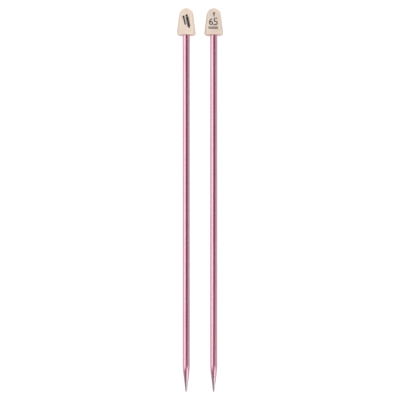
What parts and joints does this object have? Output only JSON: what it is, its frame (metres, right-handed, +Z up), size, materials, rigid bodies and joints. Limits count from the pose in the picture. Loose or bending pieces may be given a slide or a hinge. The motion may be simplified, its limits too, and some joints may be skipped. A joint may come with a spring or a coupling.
{
  "type": "straight knitting needles",
  "caption": "Straight single-pointed knitting needles: slender metal tubes drawn to rounded points, with domed, flat-sided plastic heads that keep stitches from slipping off.",
  "frame": {"origin": "on the table plane, below the middle of the lying pair: midway between the needles and halfway from the tips to the crowns", "axes": "+Z up from the table, +Y along the needles from the points towards the heads, +X from the left needle to the right needle as seen from above"},
  "size_m": [0.043, 0.3556, 0.013],
  "materials": {
    "anodised_aluminium": "bright drawn tube, dyed and anodised pink",
    "cream_plastic": "moulded, satin, slightly translucent cream",
    "dark_ink": "thin pad-printed ink on the heads"
  },
  "bodies": {
    "needle_left": {"shaft_left": "anodised_aluminium", "head_left": "cream_plastic"},
    "needle_right": {"shaft_right": "anodised_aluminium", "head_right": "cream_plastic"}
  },
  "joints": [
    {"name": "needle_apart", "type": "slide", "parent": "needle_left", "child": "needle_right", "axis": [1, 0, 0], "range_m": [0, 0.15]}
  ]
}
